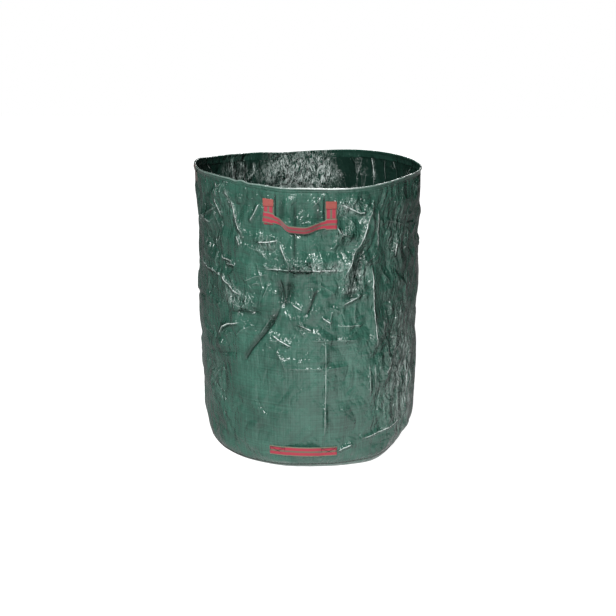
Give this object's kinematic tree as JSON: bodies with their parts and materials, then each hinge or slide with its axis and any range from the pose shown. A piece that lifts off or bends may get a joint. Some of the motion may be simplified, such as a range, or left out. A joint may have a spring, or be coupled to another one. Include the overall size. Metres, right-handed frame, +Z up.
{
  "type": "garden waste bag",
  "caption": "Self-standing round garden waste bag of coated cloth with a hooped rim, swinging webbing carrying handles and a low handle for tipping it out.",
  "frame": {"origin": "on the ground under the middle of the bag", "axes": "+Z up; -Y towards the front, where the low tipping handle is; +X to the right of someone who faces the front"},
  "size_m": [0.677, 0.7416, 0.85],
  "materials": {
    "cloth": "satin",
    "seam_tape": "matte",
    "hoop_plastic": "matte",
    "webbing": "matte"
  },
  "bodies": {
    "bag": {"side_wall": "cloth", "base_panel": "cloth", "base_seam_tape": "seam_tape", "side_seam_tape": "seam_tape", "rim_hem": "cloth", "rim_hoop": "hoop_plastic", "hoop_sleeve": "hoop_plastic", "front_handle_left_leg": "webbing", "front_handle_right_leg": "webbing", "back_handle_left_leg": "webbing", "back_handle_right_leg": "webbing", "tipping_handle_left_end": "webbing", "tipping_handle_right_end": "webbing"},
    "front_handle": {"front_handle_loop": "webbing"},
    "back_handle": {"back_handle_loop": "webbing"},
    "tipping_handle": {"tipping_handle_grip": "webbing"}
  },
  "joints": [
    {"name": "front_handle_swing", "type": "hinge", "parent": "bag", "child": "front_handle", "pos_m": [0, -0.33703, 0.761], "axis": [-1, 0, 0], "range_deg": [-30, 90]},
    {"name": "back_handle_swing", "type": "hinge", "parent": "bag", "child": "back_handle", "pos_m": [0, 0.33703, 0.761], "axis": [1, 0, 0], "range_deg": [-30, 90]},
    {"name": "tipping_handle_swing", "type": "hinge", "parent": "bag", "child": "tipping_handle", "pos_m": [0, -0.3342, 0.078], "axis": [-1, 0, 0], "range_deg": [-35, 35]}
  ]
}
